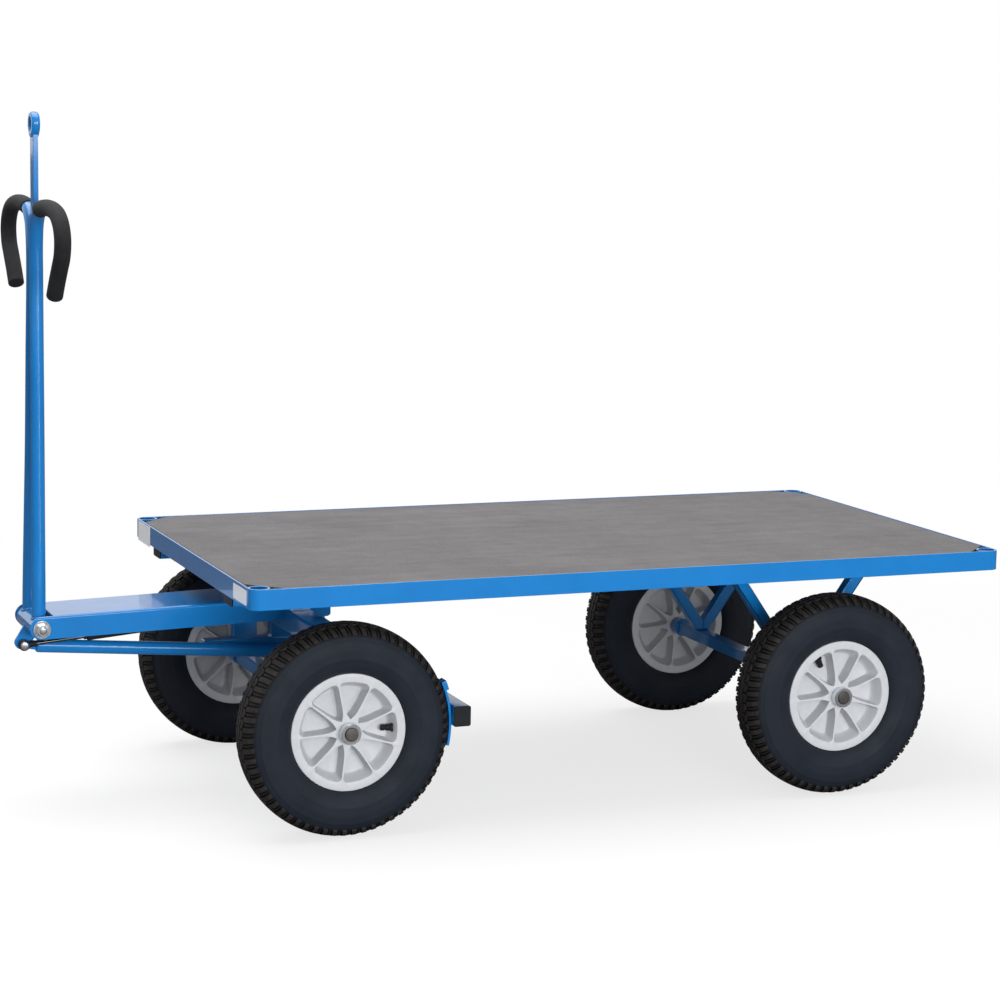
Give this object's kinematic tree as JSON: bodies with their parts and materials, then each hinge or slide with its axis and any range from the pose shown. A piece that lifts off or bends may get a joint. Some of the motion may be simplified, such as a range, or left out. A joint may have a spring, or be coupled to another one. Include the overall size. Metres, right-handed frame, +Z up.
{
  "type": "platform trolley",
  "caption": "Flat-deck hand trolley with turntable steering, pneumatic tyres and an upright drawbar that works a brake.",
  "frame": {"origin": "on the floor under the middle of the whole trolley", "axes": "+Z up, +X to the rear (the drawbar end points along -X), +Y to the right-hand side"},
  "size_m": [1.952, 0.9, 1.3605],
  "materials": {
    "blue_paint": "powder coat, semi-gloss brilliant blue",
    "deck_plywood": "film-faced plywood, smooth grey-brown",
    "tyre_rubber": "black rubber with block tread",
    "rim_plastic": "light grey moulded plastic, matt",
    "black_plastic": "black plastic and black paint, satin",
    "grip_foam": "black foam sleeve, dull",
    "zinc_plate": "bright zinc plate",
    "bare_steel": "dull cut steel"
  },
  "bodies": {
    "chassis": {"front_rail": "blue_paint", "rear_rail": "blue_paint", "left_rail": "blue_paint", "right_rail": "blue_paint", "deck_panel": "deck_plywood", "left_runner": "blue_paint", "right_runner": "blue_paint", "front_left_end_cap": "black_plastic", "front_right_end_cap": "black_plastic", "rear_left_end_cap": "black_plastic", "rear_right_end_cap": "black_plastic", "turntable_plate": "blue_paint", "front_cross_member": "blue_paint", "rear_cross_member": "blue_paint", "turntable_upper_ring": "blue_paint", "rear_axle_beam": "blue_paint", "rear_axle": "bare_steel", "rear_left_collar": "zinc_plate", "rear_right_collar": "zinc_plate", "rear_left_front_strut": "blue_paint", "rear_left_rear_strut": "blue_paint", "rear_right_front_strut": "blue_paint", "rear_right_rear_strut": "blue_paint"},
    "bogie": {"turntable_lower_ring": "blue_paint", "bolster": "blue_paint", "left_bogie_post": "blue_paint", "right_bogie_post": "blue_paint", "drawbar_beam": "blue_paint", "front_axle_beam": "blue_paint", "front_axle": "bare_steel", "front_left_collar": "zinc_plate", "front_right_collar": "zinc_plate", "hinge_bolt": "zinc_plate"},
    "drawbar": {"hinge_barrel": "blue_paint", "lever_pin": "zinc_plate", "left_drawbar_leg": "blue_paint", "right_drawbar_leg": "blue_paint", "left_grip": "grip_foam", "right_grip": "grip_foam", "towing_eye": "blue_paint"},
    "gas_rod": {"gas_spring_rod": "bare_steel"},
    "gas_cylinder": {"gas_spring_cylinder": "black_plastic"},
    "brake": {"brake_tube": "blue_paint", "brake_bar": "blue_paint", "left_brake_bar_cap": "black_plastic", "right_brake_bar_cap": "black_plastic", "left_brake_shoe": "blue_paint", "right_brake_shoe": "blue_paint"},
    "front_left_wheel": {"front_left_tyre": "tyre_rubber", "front_left_rim": "rim_plastic", "front_left_bearing": "bare_steel"},
    "front_right_wheel": {"front_right_tyre": "tyre_rubber", "front_right_rim": "rim_plastic", "front_right_bearing": "bare_steel"},
    "rear_left_wheel": {"rear_left_tyre": "tyre_rubber", "rear_left_rim": "rim_plastic", "rear_left_bearing": "bare_steel"},
    "rear_right_wheel": {"rear_right_tyre": "tyre_rubber", "rear_right_rim": "rim_plastic", "rear_right_bearing": "bare_steel"}
  },
  "joints": [
    {"name": "steering", "type": "hinge", "parent": "chassis", "child": "bogie", "pos_m": [-0.424, 0, 0.42], "axis": [0, 0, 1], "range_deg": [-90, 90]},
    {"name": "drawbar_hinge", "type": "hinge", "parent": "bogie", "child": "drawbar", "pos_m": [-0.9355, 0, 0.367], "axis": [0, -1, 0], "range_deg": [0, 100], "stiffness_Nm_per_rad": 14, "springref_deg": -68.75},
    {"name": "gas_rod_pivot", "type": "hinge", "parent": "drawbar", "child": "gas_rod", "pos_m": [-0.959, -0.018, 0.327], "axis": [0, -1, 0], "range_deg": [-104, 0]},
    {"name": "gas_spring_stroke", "type": "slide", "parent": "gas_rod", "child": "gas_cylinder", "axis": [-0.9961, 0, -0.0884], "range_m": [0, 0.072]},
    {"name": "brake_pivot", "type": "hinge", "parent": "drawbar", "child": "brake", "pos_m": [-0.959, 0, 0.327], "axis": [0, -1, 0], "range_deg": [-104, 0]},
    {"name": "front_left_wheel_spin", "type": "hinge", "parent": "bogie", "child": "front_left_wheel", "pos_m": [-0.424, -0.388, 0.2065], "axis": [0, 1, 0], "continuous": true},
    {"name": "front_right_wheel_spin", "type": "hinge", "parent": "bogie", "child": "front_right_wheel", "pos_m": [-0.424, 0.388, 0.2065], "axis": [0, 1, 0], "continuous": true},
    {"name": "rear_left_wheel_spin", "type": "hinge", "parent": "chassis", "child": "rear_left_wheel", "pos_m": [0.626, -0.388, 0.2065], "axis": [0, 1, 0], "continuous": true},
    {"name": "rear_right_wheel_spin", "type": "hinge", "parent": "chassis", "child": "rear_right_wheel", "pos_m": [0.626, 0.388, 0.2065], "axis": [0, 1, 0], "continuous": true}
  ],
  "couplings": [
    {"joint": "gas_rod_pivot", "follows": "drawbar_hinge", "ratio": -1.034},
    {"joint": "gas_spring_stroke", "follows": "drawbar_hinge", "m_per_rad": 0.04},
    {"joint": "brake_pivot", "follows": "drawbar_hinge", "ratio": -1.018}
  ]
}
